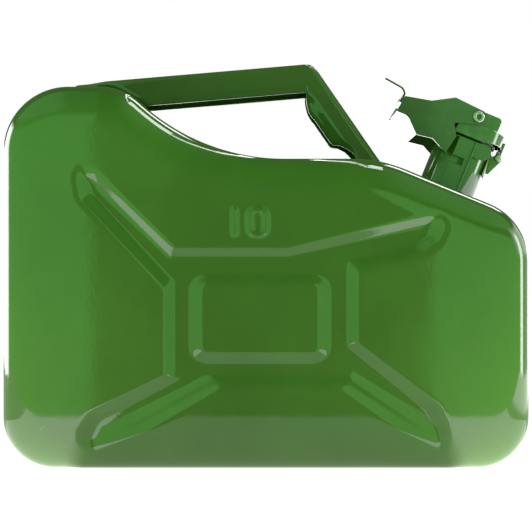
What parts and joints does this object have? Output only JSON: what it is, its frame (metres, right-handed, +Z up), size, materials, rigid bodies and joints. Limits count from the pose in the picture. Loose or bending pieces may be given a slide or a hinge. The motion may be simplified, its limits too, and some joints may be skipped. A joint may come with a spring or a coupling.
{
  "type": "jerry can",
  "caption": "Pressed-steel fuel can with a folded sheet carrying handle, a tilted neck and a hinged lever cap, its broad sides stiffened by a pressed cross.",
  "frame": {"origin": "middle of the footprint, on the ground", "axes": "+Z up, +X towards the spout end, +Y across the can"},
  "size_m": [0.345, 0.165, 0.2752],
  "materials": {
    "tank_paint": "gloss green enamel",
    "seam_paint": "gloss green enamel over a weld",
    "closure_paint": "semi-gloss green enamel",
    "lever_paint": "semi-gloss green enamel",
    "zinc": "zinc plated",
    "gasket_rubber": "matt black"
  },
  "bodies": {
    "can": {"shell_front": "tank_paint", "shell_rear": "tank_paint", "seam_weld": "seam_paint", "handle": "tank_paint", "vent_pipe": "zinc", "neck_tube": "closure_paint", "neck_flange": "closure_paint", "catch_bracket_front": "closure_paint", "catch_bracket_rear": "closure_paint", "hinge_lug": "closure_paint", "hinge_pin": "zinc"},
    "cap": {"cap_strap": "closure_paint", "lever_saddle": "closure_paint", "cap_plate": "closure_paint", "gasket": "gasket_rubber", "gasket_retainer": "zinc", "spring_washer": "zinc", "cap_rivet": "zinc", "lever_pivot": "zinc", "pivot_spacer_front": "zinc", "pivot_spacer_rear": "zinc"},
    "lever": {"lever": "lever_paint"}
  },
  "joints": [
    {"name": "cap_hinge", "type": "hinge", "parent": "can", "child": "cap", "pos_m": [0.16449, 0, 0.20869], "axis": [0, 1, 0], "range_deg": [0, 115]},
    {"name": "lever_pivot", "type": "hinge", "parent": "cap", "child": "lever", "pos_m": [0.14809, 0, 0.23617], "axis": [0, 1, 0], "range_deg": [-22, 95]}
  ]
}
